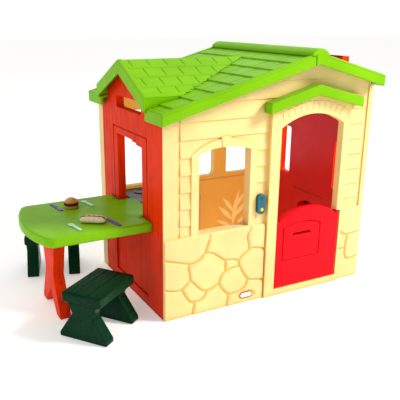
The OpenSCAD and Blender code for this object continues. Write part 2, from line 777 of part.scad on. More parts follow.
module faucet() color(metal) at_house() translate([faucet_x, faucet_y, 0]) {
    translate([0, 0, counter_z - 36]) cylinder(r = 9, h = 28 + 60);
    translate([0, 0, counter_z - 8]) cylinder(r = 16, h = 12);
    translate([0, 0, counter_z + 46]) rotate([90, 0, 0]) cylinder(r = 9, h = 95);
    translate([0, -95, counter_z + 28]) cylinder(r = 9, h = 18);
    translate([0, 0, counter_z + 46]) sphere(9);
    translate([0, -95, counter_z + 46]) sphere(9);
}

// Play food and cutlery on the table
burger_at = [-315, 600, table_z];
module burger_bun() color("#d8963c") at_house() translate(burger_at) {
    cylinder(r = 41, h = 17);
    translate([0, 0, 34]) intersection() {
        translate([0, 0, -19]) sphere(47);
        cylinder(r = 43, h = 40);
    }
}
module burger_filling() color("#4a1808") at_house() translate(burger_at + [0, 0, 17]) cylinder(r = 44, h = 17);

hot_dog_at = [-290, 285, table_z];
module hot_dog_bun() color("#ecd49a") at_house() translate(hot_dog_at) rotate([0, 0, -33]) difference() {
    plate(0, 38) soft_rect(-74, -31, 148, 62, 30);
    translate([-60, 0, 34]) rotate([0, 90, 0]) cylinder(r = 14.3, h = 120);
    for (x = [-60, 60]) translate([x, 0, 34]) sphere(14.3);
}
module hot_dog_sausage() color("#6a1c10") at_house() translate(hot_dog_at) rotate([0, 0, -33]) {
    translate([-60, 0, 34]) rotate([0, 90, 0]) cylinder(r = 14, h = 120);
    for (x = [-60, 60]) translate([x, 0, 34]) sphere(14);
}

// One piece of cutlery along X: a handle and a wider head
module cutlery(length, head_l, head_w) {
    plate(0, 7) soft_rect(-length / 2, -9, length - head_l + 10, 18, 8);
    plate(0, 5) soft_rect(length / 2 - head_l, -head_w / 2, head_l, head_w, 9);
}
module near_knife() color("#5a3fb0") at_house() translate([-191, 236, table_z]) rotate([0, 0, -80]) cutlery(150, 84, 24);
module far_knife() color("#5a3fb0") at_house() translate([-397, 632, table_z]) rotate([0, 0, -80]) cutlery(150, 84, 24);
module near_fork() color("#b8f08c") at_house() translate([-404, 250, table_z]) rotate([0, 0, 100]) cutlery(132, 44, 30);
module far_fork() color("#b8f08c") at_house() translate([-206, 622, table_z]) rotate([0, 0, 100]) cutlery(132, 44, 30);

front_wall();
rear_wall();
patio_wall();
right_wall();
chimney();
roof_left();
roof_right();
dormer_roof();
door_hood();
half_door();
hinge_pins();
hood_screws();
wall_screws();
badge_plate();
bell_case();
bell_back_plate();
bell_button();
bell_switch();
bell_board();
bell_speaker();
bell_batteries();
bell_screws();
patio_table();
table_leg();
table_screws();
near_bench_seat();
near_bench_left_frame();
near_bench_right_frame();
far_bench_seat();
far_bench_left_frame();
far_bench_right_frame();
kitchen_counter();
stove_top();
faucet();
burger_bun();
burger_filling();
hot_dog_bun();
hot_dog_sausage();
near_knife();
far_knife();
near_fork();
far_fork();
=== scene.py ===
"""Looks of the plastic playhouse, its patio table, its benches and the play food.

Every shown piece is either moulded from its CAD node, with the soft edges of a
rotational moulding, or raised as a relief that lies on such a piece.
"""

import logging
import math
from dataclasses import dataclass, replace
from enum import Enum
from typing import Callable

import bmesh
import bpy
from mathutils import Matrix, Vector, noise


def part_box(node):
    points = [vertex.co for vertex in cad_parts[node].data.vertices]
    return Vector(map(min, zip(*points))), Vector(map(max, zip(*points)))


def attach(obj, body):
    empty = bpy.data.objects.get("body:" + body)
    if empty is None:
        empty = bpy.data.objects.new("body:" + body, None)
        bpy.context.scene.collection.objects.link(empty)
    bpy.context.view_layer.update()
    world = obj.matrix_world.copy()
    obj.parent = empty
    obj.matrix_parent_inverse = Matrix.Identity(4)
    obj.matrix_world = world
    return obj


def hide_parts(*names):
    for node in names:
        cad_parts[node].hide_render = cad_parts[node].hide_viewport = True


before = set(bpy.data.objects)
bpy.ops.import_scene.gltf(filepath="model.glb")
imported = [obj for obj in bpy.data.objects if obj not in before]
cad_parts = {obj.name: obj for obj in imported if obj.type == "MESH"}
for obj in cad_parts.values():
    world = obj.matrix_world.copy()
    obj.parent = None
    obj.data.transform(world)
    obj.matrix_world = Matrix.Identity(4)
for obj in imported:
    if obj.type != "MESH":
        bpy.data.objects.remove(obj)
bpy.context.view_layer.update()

log = logging.getLogger("playhouse")

MM = 0.001
Plan = tuple[float, float]
Triple = tuple[float, float, float]
Rise = float | None
Tree = bpy.types.NodeTree
Socket = bpy.types.NodeSocket
Shape = bmesh.types.BMesh

TO_RIGHT = Vector((1, 0, 0))
TO_BACK = Vector((0, 1, 0))
UPWARD = Vector((0, 0, 1))


class Surface(Enum):
    """How a finish breaks up close to the eye."""

    MOULDED = "moulded"
    WOOD = "wood"
    METAL = "metal"
    CRUMB = "crumb"
    FLOOR = "floor"


def add_node(tree: Tree, kind: str, values: dict[str, object] | None = None,
             **links: Socket) -> bpy.types.Node:
    """Adds a shader node.

    Args:
        tree: tree to add it to.
        kind: its type.
        values: value of each input that is set.
        links: socket that feeds each input.

    Returns:
        The node.
    """
    node = tree.nodes.new("ShaderNode" + kind)
    for name, value in (values or {}).items():
        node.inputs[name].default_value = value
    for name, socket in links.items():
        tree.links.new(socket, node.inputs[name])
    return node


@dataclass(frozen=True)
class Finish:
    """One kind of material, as seen on the real toy, or one of its colours painted as in shade.

    Colours are linear. The second colour darkens wood grain and crumb spots, and is painted shade
    in grooves and corners.
    """

    name: str
    colour: Triple
    grain_and_crevice_shade: Triple
    surface: Surface = Surface.MOULDED
    roughness: float = 0.42
    uneven: float = 0.05
    bump: float = 0.12
    coat: float = 0.0
    specular: float = 0.3
    metallic: float = 0.0
    crevice_shade_reach: float = 0.03
    crevice_shade_strength: float = 0.8
    # Emission. On the inner wall faces and the leaves it is painted light; on the floor it keeps
    # the floor evenly bright.
    glow: float = 0.0
    grain_axis: int = 2
    turn: float = 0.0
    slot: str = ""

    @property
    def record_slot(self) -> str:
        """Material slot name, which is the finish's own name unless one is given."""
        return self.slot or self.name

    def material(self) -> bpy.types.Material:
        """Returns the material for this finish, made on first use."""
        known = bpy.data.materials.get("look_" + self.name)
        if known:
            return known
        mat = bpy.data.materials.new("look_" + self.name)
        mat.use_nodes = True
        mat.diffuse_color = (*self.colour, 1.0)
        tree = mat.node_tree
        tree.nodes.clear()
        shader = add_node(tree, "BsdfPrincipled", {
            "Metallic": self.metallic, "Coat Weight": self.coat, "Coat Roughness": 0.12,
            "Specular IOR Level": self.specular})
        add_node(tree, "OutputMaterial", Surface=shader.outputs["BSDF"])
        # Painted glow: the surface gives off its own colour though it is no lamp, except on the
        # evenly bright floor.
        if self.glow:
            shader.inputs["Emission Color"].default_value = (*self.colour, 1.0)
            shader.inputs["Emission Strength"].default_value = self.glow
        place = add_node(tree, "TexCoord").outputs["Object"]
        if self.turn:
            turned = (0, 0, math.radians(-self.turn))
            place = add_node(tree, "Mapping", {"Rotation": turned}, Vector=place).outputs["Vector"]
        cloud = self._noise(tree, place, 3.5, 3.0)
        self._wire_colour(tree, shader, place, cloud)
        self._wire_skin(tree, shader, place)
        log.info("finish %s", self.name)
        return mat

    def _noise(self, tree: Tree, place: Socket, scale: float,
               detail: float, stretch: Triple = (1, 1, 1)) -> Socket:
        """Adds a noise texture.

        Args:
            tree: node tree of the material.
            place: socket with object coordinates.
            scale: size of the pattern, in repeats per metre.
            detail: number of finer layers.
            stretch: factor on each axis.

        Returns:
            The socket with the noise value.
        """
        fit = add_node(tree, "Mapping", {"Scale": stretch}, Vector=place)
        return add_node(tree, "TexNoise", {"Scale": scale, "Detail": detail},
                        Vector=fit.outputs["Vector"]).outputs["Fac"]

    def _span(self, tree: Tree, value: Socket, low: float,
              high: float, from_low: float = 0.3, from_high: float = 0.7) -> Socket:
        """Rescales a value to run from low to high.

        Args:
            tree: node tree of the material.
            value: socket to rescale.
            low, high: ends of the result.
            from_low, from_high: ends of the value.

        Returns:
            The socket with the result.
        """
        ends = {"From Min": from_low, "From Max": from_high, "To Min": low, "To Max": high}
        return add_node(tree, "MapRange", ends, Value=value).outputs["Result"]

    def _mix(self, tree: Tree, factor: Socket,
             a: Socket | tuple, b: tuple) -> Socket:
        """Mixes two colours.

        Args:
            tree: node tree of the material.
            factor: 0 gives a, 1 gives b.
            a, b: the colours.

        Returns:
            The socket with the colour.
        """
        node = tree.nodes.new("ShaderNodeMix")
        node.data_type = "RGBA"
        tree.links.new(factor, node.inputs["Factor"])
        if isinstance(a, tuple):
            node.inputs["A"].default_value = (*a, 1.0)
        else:
            tree.links.new(a, node.inputs["A"])
        node.inputs["B"].default_value = (*b, 1.0)
        return node.outputs["Result"]

    def _grain(self, across: float, along: float) -> Triple:
        """Returns the factors that draw a pattern out along the grain."""
        return tuple(along if axis == self.grain_axis else across for axis in range(3))

    def _wire_colour(self, tree: Tree, shader: bpy.types.Node,
                     place: Socket, cloud: Socket) -> None:
        """Wires the colour: uneven pigment, grain, and painted shade in the crevices.

        Args:
            tree: node tree of the material.
            shader: its shader.
            place: socket with object coordinates.
            cloud: socket with a slow noise.
        """
        dark = tuple(c * (1 - 3 * self.uneven) for c in self.colour)
        colour = self._mix(tree, self._span(tree, cloud, 0.0, 1.0), self.colour, dark)
        if self.surface is Surface.CRUMB:
            spots = self._noise(tree, place, 260, 2)
            spots = self._span(tree, spots, 0.0, 0.6, 0.5, 0.7)
            colour = self._mix(tree, spots, colour, self.grain_and_crevice_shade)
        if self.surface is Surface.WOOD:
            grain = self._noise(tree, place, 1.4, 3, self._grain(26.0, 1.6))
            grain = self._span(tree, grain, 0.0, 0.5, 0.52, 0.68)
            colour = self._mix(tree, grain, colour, self.grain_and_crevice_shade)
        # Painted shade: the crevice colour goes where a relief marks its low places and where
        # ambient occlusion finds grooves and corners.
        if self.crevice_shade_strength:
            sunk = tree.nodes.new("ShaderNodeAttribute")
            sunk.attribute_name = "sunk"
            colour = self._mix(tree, sunk.outputs["Fac"], colour, self.grain_and_crevice_shade)
            shade = add_node(tree, "AmbientOcclusion", {"Distance": self.crevice_shade_reach})
            shade.samples = 6
            depth = self._span(tree, shade.outputs["AO"], self.crevice_shade_strength, 0.0, 0.3, 0.93)
            colour = self._mix(tree, depth, colour, self.grain_and_crevice_shade)
        tree.links.new(colour, shader.inputs["Base Color"])

    def _wire_skin(self, tree: Tree, shader: bpy.types.Node, place: Socket) -> None:
        """Wires a slightly uneven gloss, and the fine skin or the grain of the moulding.

        Args:
            tree: node tree of the material.
            shader: its shader.
            place: socket with object coordinates.
        """
        worn = self._noise(tree, place, 14.0, 4.0)
        low, high = self.roughness - 0.06, self.roughness + 0.08
        tree.links.new(self._span(tree, worn, low, high), shader.inputs["Roughness"])
        if self.surface is Surface.WOOD:
            height, distance = self._noise(tree, place, 1.5, 4, self._grain(30.0, 1.8)), 0.004
        elif self.surface is Surface.METAL:
            height, distance = self._noise(tree, place, 60, 2, (1, 1, 12)), 0.0004
        elif self.surface is Surface.CRUMB:
            height, distance = self._noise(tree, place, 240, 3), 0.0008
        else:
            height, distance = self._noise(tree, place, 170, 2), 0.0012
        bump = add_node(tree, "Bump", {"Strength": self.bump, "Distance": distance}, Height=height)
        tree.links.new(bump.outputs["Normal"], shader.inputs["Normal"])


CREAM = Finish("cream", (0.92, 0.67, 0.27), (0.74, 0.40, 0.04), crevice_shade_reach=0.04)
# Inner faces of the cream walls: the cream painted as in shade, deeper orange, with a painted glow
# for light coming through the plastic.
SHADED_CREAM_INSIDE = Finish("shaded_lining", (0.95, 0.52, 0.09), (0.75, 0.33, 0.03), crevice_shade_reach=0.05, glow=0.3)
# Leaves on the inner face of the rear wall: cream plastic painted lighter, with a painted glow, so
# that they look lit.
LEAF = Finish("leaf_relief", (1.0, 0.70, 0.24), (0.85, 0.5, 0.1), crevice_shade_strength=0.0, glow=0.42,
              slot="cream")
ORANGE = Finish("orange", (0.84, 0.032, 0.0), (0.34, 0.006, 0.0), Surface.WOOD, 0.45, bump=0.4,
                specular=0.05)
GREEN = Finish("green", (0.20, 0.49, 0.003), (0.06, 0.25, 0.001), roughness=0.38, coat=0.03,
               specular=0.05)
RED = Finish("red", (0.95, 0.002, 0.010), (0.45, 0.0, 0.005), roughness=0.34, coat=0.04,
             specular=0.05)
# Inner face of the orange right wall: the orange painted as in shade, dark red, with a small
# painted glow.
SHADED_ORANGE_INSIDE = Finish("shaded_orange_inside", (0.66, 0.003, 0.014), (0.30, 0.0, 0.006), roughness=0.4,
                  crevice_shade_reach=0.06, glow=0.12)
NEAR_GREEN = Finish("near_dark_green", (0.0015, 0.034, 0.012), (0.0, 0.009, 0.004), Surface.WOOD,
                    0.3, bump=0.45, coat=0.04, specular=0.05, grain_axis=0, turn=37.0,
                    slot="dark_green")
FAR_GREEN = replace(NEAR_GREEN, name="far_dark_green", turn=-17.5)
TEAL = Finish("teal", (0.003, 0.12, 0.17), (0.0, 0.04, 0.06), roughness=0.3, crevice_shade_reach=0.008)
YELLOW = Finish("yellow", (0.95, 0.58, 0.01), (0.7, 0.3, 0.0), roughness=0.35, crevice_shade_reach=0.004)
WHITE = Finish("white", (0.85, 0.82, 0.78), (0.6, 0.42, 0.35), roughness=0.35, crevice_shade_reach=0.006)
RIM = Finish("rim", (0.36, 0.02, 0.012), (0.2, 0.01, 0.006), roughness=0.4, crevice_shade_reach=0.004,
             slot="white")
BLACK = Finish("black", (0.018, 0.016, 0.017), (0.004, 0.004, 0.004), roughness=0.34)
RUBBER = Finish("rubber", (0.05, 0.05, 0.05), (0.01, 0.01, 0.01), roughness=0.6,
                crevice_shade_reach=0.003)
BOARD = Finish("circuit_board", (0.01, 0.13, 0.04), (0.0, 0.05, 0.01), roughness=0.4,
               crevice_shade_reach=0.003)
STEEL = Finish("steel", (0.55, 0.54, 0.52), (0.2, 0.19, 0.18), Surface.METAL, 0.3, metallic=1.0,
               specular=0.5, crevice_shade_reach=0.004, bump=0.2)
STEEL_LOOK = Finish("steel_look", (0.5, 0.52, 0.54), (0.25, 0.26, 0.28), roughness=0.3,
                    metallic=0.6, specular=0.5, crevice_shade_reach=0.01)
BUN = Finish("bun", (0.66, 0.30, 0.06), (0.34, 0.11, 0.02), Surface.CRUMB, 0.42,
             crevice_shade_reach=0.012)
FILLING = Finish("filling", (0.085, 0.016, 0.006), (0.03, 0.006, 0.003), Surface.CRUMB, 0.45,
                 crevice_shade_reach=0.01)
PALE_BUN = Finish("pale_bun", (0.88, 0.70, 0.42), (0.45, 0.25, 0.08), Surface.CRUMB, 0.45,
                  crevice_shade_reach=0.012)
SAUSAGE = Finish("sausage", (0.16, 0.028, 0.008), (0.06, 0.01, 0.003), roughness=0.35,
                 crevice_shade_reach=0.01)
PURPLE = Finish("purple", (0.13, 0.07, 0.36), (0.06, 0.03, 0.2), roughness=0.35,
                crevice_shade_reach=0.004)
MINT = Finish("mint", (0.50, 0.76, 0.55), (0.25, 0.45, 0.3), roughness=0.35, crevice_shade_reach=0.004)
PAPER = Finish("floor", (0.92, 0.915, 0.905), (0.8, 0.79, 0.78), Surface.FLOOR, 0.75, uneven=0.002,
               bump=0.02, crevice_shade_strength=0.0, glow=0.3)


class Site:
    """Where the house stands: its outer front left corner, from which sizes are given."""

    def __init__(self) -> None:
        """Reads the corner from the CAD walls."""
        self.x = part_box("rear_wall")[0].x
        self.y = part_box("patio_wall")[0].y

    def at(self, x: float, y: float, z: float) -> Vector:
        """Returns the point x, y, z in mm from the corner, in metres in the shared frame."""
        return Vector((self.x + x * MM, self.y + y * MM, z * MM))


def smooth_step(value: float) -> float:
    """Returns 0 below 0, 1 above 1 and a soft ramp between."""
    t = min(1.0, max(0.0, value))
    return t * t * (3 - 2 * t)


def add_object(name: str, bm: Shape, finish: Finish) -> bpy.types.Object:
    """Makes a shaded object from a bmesh, which is freed.

    Args:
        name: name of the new object.
        bm: its shape, in metres in the shared frame.
        finish: its material.

    Returns:
        The new object, linked to the scene.
    """
    mesh = bpy.data.meshes.new(name)
    bm.to_mesh(mesh)
    bm.free()
    for layer in ("custom_normal", "sharp_edge", "sharp_face"):
        if layer in mesh.attributes:
            mesh.attributes.remove(mesh.attributes[layer])
    mesh.shade_smooth()
    mesh.materials.clear()
    mesh.materials.append(finish.material())
    for face in mesh.polygons:
        face.material_index = 0
    obj = bpy.data.objects.new(name, mesh)
    bpy.context.collection.objects.link(obj)
    return obj


def soften(obj: bpy.types.Object, width: float, segments: int = 3, angle: float = 28) -> None:
    """Rounds the sharp edges of a piece.

    Args:
        obj: the piece.
        width: width of the rounding in mm.
        segments: faces across it.
        angle: least angle of a sharp edge, in degrees.
    """
    mod = obj.modifiers.new("soft edges", "BEVEL")
    mod.width = width * MM
    mod.segments = segments
    mod.limit_method = "ANGLE"
    mod.angle_limit = math.radians(angle)
    mod.use_clamp_overlap = False
    keep_flats(obj)


def keep_flats(obj: bpy.types.Object) -> None:
    """Keeps the shading of large flat faces flat beside rounded edges."""
    flat = obj.modifiers.new("flat faces stay flat", "WEIGHTED_NORMAL")
    flat.weight = 80


def settle(obj: bpy.types.Object, body: str, finish: Finish, *nodes: str) -> None:
    """Rides a piece on its body and reports it.

    Args:
        obj: the piece.
        body: body that it moves with.
        finish: not used.
        nodes: CAD nodes that it stands for.
    """
    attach(obj, body)
    if nodes:
        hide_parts(*nodes)
    log.info("%s rides on %s", obj.name, body)


@dataclass
class Moulding:
    """A piece moulded after one CAD node, with soft edges."""

    node: str
    finish: Finish
    edge: float = 3.0
    segments: int = 3
    angle: float = 28.0
    merge_flats: bool = True
    # Finish of the inner faces: a copy of the wall's colour painted as in shade, with a painted
    # glow.
    shaded_lining: Finish | None = None
    shaded_lining_way: Triple = (0.0, 1.0, 0.0)
    body: str = "house"

    def build(self) -> None:
        """Builds the piece, rides it on its body and hides its node."""
        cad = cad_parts[self.node]
        bm = bmesh.new()
        bm.from_mesh(cad.data)
        bmesh.ops.remove_doubles(bm, verts=bm.verts, dist=2e-5)
        bmesh.ops.dissolve_degenerate(bm, dist=6e-5, edges=bm.edges)
        if self.merge_flats:
            bmesh.ops.dissolve_limit(bm, angle_limit=math.radians(0.6), verts=bm.verts,
                                     use_dissolve_boundaries=False, edges=bm.edges)
        bmesh.ops.recalc_face_normals(bm, faces=bm.faces)
        obj = add_object(self.node + "_skin", bm, self.finish)
        soften(obj, self.edge, self.segments, self.angle)
        # Inner faces get the painted-shade copy of the colour.
        if self.shaded_lining:
            obj.data.materials.append(self.shaded_lining.material())
            for face in obj.data.polygons:
                if face.normal.dot(Vector(self.shaded_lining_way)) > 0.7:
                    face.material_index = 1
        settle(obj, self.body, self.finish, self.node)


@dataclass
class Relief:
    """A raised skin on a flat face, closed at the back.

    Places across and along are given in mm from origin. Height gives the rise in
    mm, or None where the skin stops. Low places carry painted shade in a vertex layer.
    """

    name: str
    finish: Finish
    origin: Vector
    across: Vector
    along: Vector
    across_lines: list[float]
    along_lines: list[float]
    height: Callable[[float, float], Rise]
    sink: float = 4.0
    groove_shade: float = 0.8
    groove_level: float = 3.0
    body: str = "house"

    def build(self) -> None:
        """Builds the skin and rides it on its body."""
        bm = bmesh.new()
        shade_layer = bm.verts.layers.float.new("sunk")
        count_u, count_v = len(self.across_lines), len(self.along_lines)
        bmesh.ops.create_grid(bm, x_segments=count_u - 1, y_segments=count_v - 1, size=1.0)
        bm.verts.ensure_lookup_table()
        order = sorted(bm.verts, key=lambda v: (round(v.co.y, 6), round(v.co.x, 6)))
        out = self.across.cross(self.along).normalized()
        dropped = []
        for number, vert in enumerate(order):
            u = self.across_lines[number % count_u]
            v = self.along_lines[number // count_u]
            rise = self.height(u, v)
            if rise is None:
                dropped.append(vert)
                rise = 0.0
            vert.co = self.origin + self.across * (u * MM) + self.along * (v * MM) \
                + out * (rise * MM)
            # Painted shade: full in the low places of the skin, gone where it rises past
            # groove_level.
            vert[shade_layer] = self.groove_shade * (1 - smooth_step(rise / self.groove_level))
        bmesh.ops.delete(bm, geom=dropped, context="VERTS")
        bmesh.ops.delete(bm, geom=[v for v in bm.verts if not v.link_faces], context="VERTS")
        bmesh.ops.recalc_face_normals(bm, faces=bm.faces)
        rim = [e for e in bm.edges if e.is_boundary]
        back = bmesh.ops.extrude_edge_only(bm, edges=rim)
        low = [v for v in back["geom"] if isinstance(v, bmesh.types.BMVert)]
        for vert in low:
            level = (vert.co - self.origin).dot(out)
            vert.co -= out * (level + self.sink * MM)
        bmesh.ops.holes_fill(bm, edges=[e for e in bm.edges if e.is_boundary], sides=0)
        bmesh.ops.recalc_face_normals(bm, faces=bm.faces)
        obj = add_object(self.name, bm, self.finish)
        soften(obj, 1.5, 2, 50)
        settle(obj, self.body, self.finish)


def even_lines(start: float, end: float, step: float) -> list[float]:
    """Returns evenly spaced places from start to end, about step apart."""
    count = max(1, round((end - start) / step))
    return [start + (end - start) * k / count for k in range(count + 1)]


def curve_points(knots: list[Plan], steps: int = 6) -> list[Plan]:
    """Draws a smooth curve through points.

    Args:
        knots: the points.
        steps: steps from one knot to the next.

    Returns:
        The points of the curve.
    """
    pts = [knots[0], *knots, knots[-1]]
    out = []
    for k in range(1, len(pts) - 2):
        a, b, c, d = (Vector(p) for p in pts[k - 1:k + 3])
        for s in range(steps):
            t = s / steps
            out.append(tuple(0.5 * ((2 * b) + (c - a) * t + (2 * a - 5 * b + 4 * c - d) * t * t
                                    + (3 * b - a - 3 * c + d) * t ** 3)))
    out.append(knots[-1])
    return out


class JointNet:
    """The joints between field stones, as smooth curves on the wall."""

    def __init__(self, joints: list[list[Plan]], cell: float = 40.0) -> None:
        """Lays the curves out in cells, so that near ones are found fast.

        Args:
            joints: knots of each joint, in mm.
            cell: size of a cell in mm.
        """
        self.cell = cell
        self.cells: dict[tuple[int, int], list[tuple[Plan, Plan]]] = {}
        for knots in joints:
            pts = curve_points(knots)
            for a, b in zip(pts, pts[1:]):
                key = (int(a[0] // cell), int(a[1] // cell))
                self.cells.setdefault(key, []).append((a, b))

    def distance(self, x: float, z: float) -> float:
        """Returns the distance in mm from x, z to the nearest joint, at most a cell."""
        best = self.cell
        cx, cz = int(x // self.cell), int(z // self.cell)
        for i in (cx - 1, cx, cx + 1):
            for j in (cz - 1, cz, cz + 1):
                for (ax, az), (bx, bz) in self.cells.get((i, j), ()):
                    dx, dz = bx - ax, bz - az
                    size = dx * dx + dz * dz or 1e-9
                    t = min(1.0, max(0.0, ((x - ax) * dx + (z - az) * dz) / size))
                    best = min(best, math.hypot(x - ax - t * dx, z - az - t * dz))
        return best


@dataclass
class Stonework:
    """The field stones at the foot of the door wall."""

    site: Site
    face_y: float = -8.0
    rise: float = 9.0
    groove: float = 14.0
    swell: float = 38.0
    top: float = 484.0
    step: float = 3.8

    def joints(self) -> list[list[Plan]]:
        """Returns the joints left of the door."""
        return [
            [(0, 365), (70, 345), (165, 318), (220, 335), (255, 365), (305, 357), (345, 330),
             (390, 298), (440, 294), (482, 284), (512, 312), (552, 332), (585, 340), (670, 320)],
            [(255, 365), (262, 390), (276, 425), (284, 480)],
            [(552, 332), (548, 375), (538, 420), (560, 480)],
            [(165, 318), (148, 298), (156, 272), (160, 240), (165, 212)],
            [(0, 190), (46, 176), (95, 170), (118, 180), (165, 212), (205, 174), (250, 136),
             (290, 136), (318, 147), (350, 165), (364, 202), (388, 224), (440, 240), (492, 238),
             (510, 205), (545, 155), (575, 138), (670, 122)],
            [(390, 298), (392, 268), (388, 224)],
            [(482, 284), (483, 258), (492, 238)],
            [(110, 172), (135, 122), (167, 83), (189, 73), (184, 37), (174, 0)],
            [(167, 83), (222, 81), (250, 98), (267, 124), (270, 135)],
            [(350, 165), (370, 127), (417, 79), (463, 77), (510, 88), (543, 127), (545, 155)],
            [(417, 79), (412, 40), (403, 0)],
        ]

    def side_joints(self) -> list[list[Plan]]:
        """Returns the joints right of the door."""
        return [
            [(1230, 345), (1262, 318), (1310, 300), (1425, 312)],
            [(1230, 215), (1270, 208), (1300, 210)],
            [(1310, 300), (1300, 250), (1300, 210), (1300, 165), (1330, 128), (1425, 140)],
        ]

    def build(self) -> None:
        """Builds both stretches of stonework."""
        low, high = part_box("badge_plate")
        mid_x = ((low.x + high.x) / 2 - self.site.x) / MM
        mid_z = (low.z + high.z) / 2 / MM
        half_x = (high.x - low.x) / 2 / MM + 6
        half_z = (high.z - low.z) / 2 / MM + 6

        def stretch(name: str, joints: list[list[Plan]], x0: float, x1: float) -> None:
            """Builds one stretch.

            Args:
                name: name of the piece.
                joints: knots of the joints between its stones.
                x0, x1: where it starts and ends, in mm.
            """
            net = JointNet(joints)

            def height(u: float, z: float) -> Rise:
                """Swells each stone between its joints.

                Args:
                    u: distance from the start.
                    z: height above the floor.

                Returns:
                    The rise of the skin in mm.
                """
                x = x0 + u
                away = net.distance(x, z)
                level = smooth_step(away / self.groove) * self.rise
                level += 1.4 * smooth_step(away / self.swell) \
                    + 0.7 * noise.noise(Vector((x * 0.012, z * 0.012, 3.0)))
                level = min(level, 0.5 + 10 * smooth_step((self.top - z) / 14))
                edge = min(x1 - x, z + 2, x - x0)
                level *= 0.25 + 0.75 * smooth_step((edge + 2) / 9)
                pad = math.hypot((x - mid_x) / half_x, (z - mid_z) / half_z)
                level = min(level, 1.6 + 8 * smooth_step((pad - 1) / 0.4))
                return max(0.15, level)

            Relief(name, CREAM, self.site.at(x0, self.face_y, 0), TO_RIGHT,
                   UPWARD, even_lines(0, x1 - x0, self.step), even_lines(1, self.top, self.step),
                   height, groove_shade=0.75, groove_level=6.0).build()

        stretch("stones_left", self.joints(), 1, 664)
        stretch("stones_right", self.side_joints(), 1241, 1421)


@dataclass
class Tiling:
    """Staggered roof tiles on one slope, thick at their lower edge."""

    pitch: float = 140.0
    course: float = 124.0
    groove: float = 7.0
    thick: float = 9.0
    thin: float = 2.0
    rim: float = 30.0

    def course_lines(self, length: float) -> list[float]:
        """Returns the grid lines that run along the eave, from ridge to eave."""
        lines = [0.0]
        k = 1
        while k * self.course < length - self.rim * 0.6:
            edge = k * self.course
            lines += [edge - 30, edge - 9, edge - 3, edge, edge + 3.5]
            k += 1
        lines += [length - self.rim, length - self.rim + 4, length - 8, length - 3, length]
        return sorted(v for v in set(lines) if 0 <= v <= length)

    def joint_lines(self, width: float) -> list[float]:
        """Returns the grid lines that run down the slope."""
        lines = [0.0, 3.0, 8.0, self.rim - 4, self.rim, width - self.rim, width - self.rim + 4,
                 width - 8, width - 3, width]
        k = 0
        while k * self.pitch / 2 < width - 2 * self.rim:
            mid = self.rim + k * self.pitch / 2
            lines += [mid - self.groove, mid - self.groove / 2, mid, mid + self.groove / 2,
                      mid + self.groove]
            k += 1
        keep = sorted(v for v in set(lines) if 0 <= v <= width)
        return [v for k, v in enumerate(keep) if k == 0 or v - keep[k - 1] > 0.4]

    def level(self, across: float, down: float, width: float, length: float) -> float:
        """Returns the rise of the skin in mm at a place on the slope.

        Args:
            across: distance from the front verge.
            down: distance from the ridge.
            width: whole width of the slope.
            length: whole run of the slope.
        """
        side = min(across, width - across, length - down)
        if side <= self.rim - 2:
            return self.thick * (0.35 + 0.65 * smooth_step(side / 9))
        if side <= self.rim + 0.5:
            return self.thin * 0.4
        row = int((down + 0.01) // self.course)
        part = (down - row * self.course) / self.course
        level = self.thin + (self.thick - self.thin) * part
        shift = (self.pitch / 2) * (row % 2)
        place = (across - self.rim - shift) % self.pitch
        near = min(place, self.pitch - place)
        if near < self.groove:
            level -= (self.thick * 0.6) * (1 - near / self.groove)
        return max(0.3, level)


